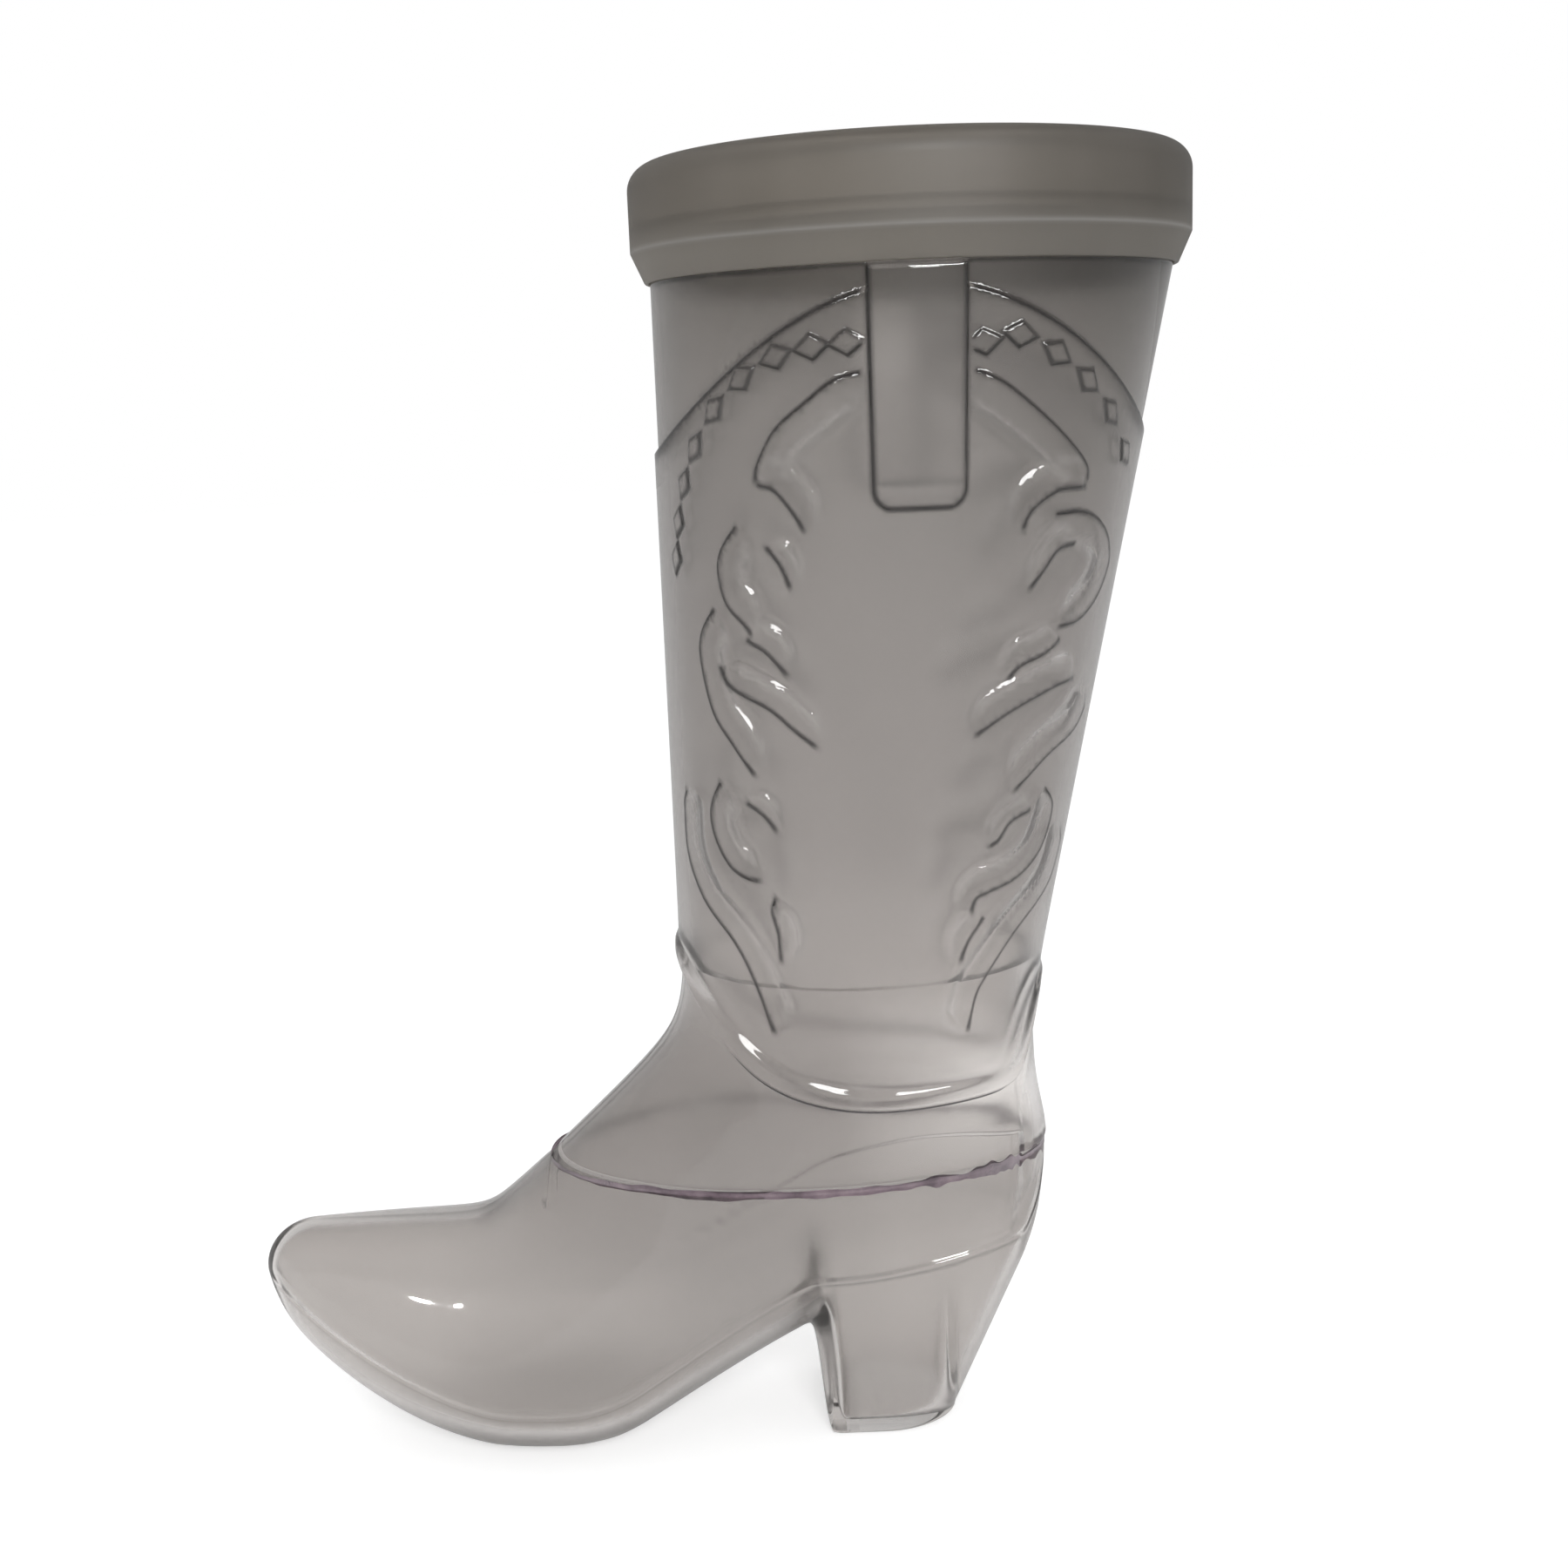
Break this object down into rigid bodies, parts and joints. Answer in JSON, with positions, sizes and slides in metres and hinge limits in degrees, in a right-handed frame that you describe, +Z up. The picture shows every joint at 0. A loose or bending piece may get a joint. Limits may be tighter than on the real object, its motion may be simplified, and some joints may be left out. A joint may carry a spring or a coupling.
{
  "type": "boot-shaped drinking cup",
  "caption": "Clear plastic drinking cup in the shape of a western boot, with a rounded rim band, raised scroll panel, pull straps, pointed toe and hollow heel.",
  "frame": {"origin": "middle of the heel's flat bottom face, on the surface that the cup stands on", "axes": "+Z up towards the rim, -X towards the toe, +Y and -Y to the two like sides"},
  "size_m": [0.1473, 0.0804, 0.1943],
  "materials": {
    "clear_plastic": "polished clear, faintly grey",
    "rim_plastic": "polished clear, greyer where the wall is doubled",
    "adhesive": "cured solvent cement, slightly hazy"
  },
  "bodies": {
    "root": {"rim_band": "rim_plastic", "rim_bond": "adhesive", "leg_shell": "clear_plastic", "ankle_bond": "adhesive", "foot_upper": "clear_plastic", "foot_bond": "adhesive", "foot_base": "clear_plastic"}
  },
  "joints": []
}
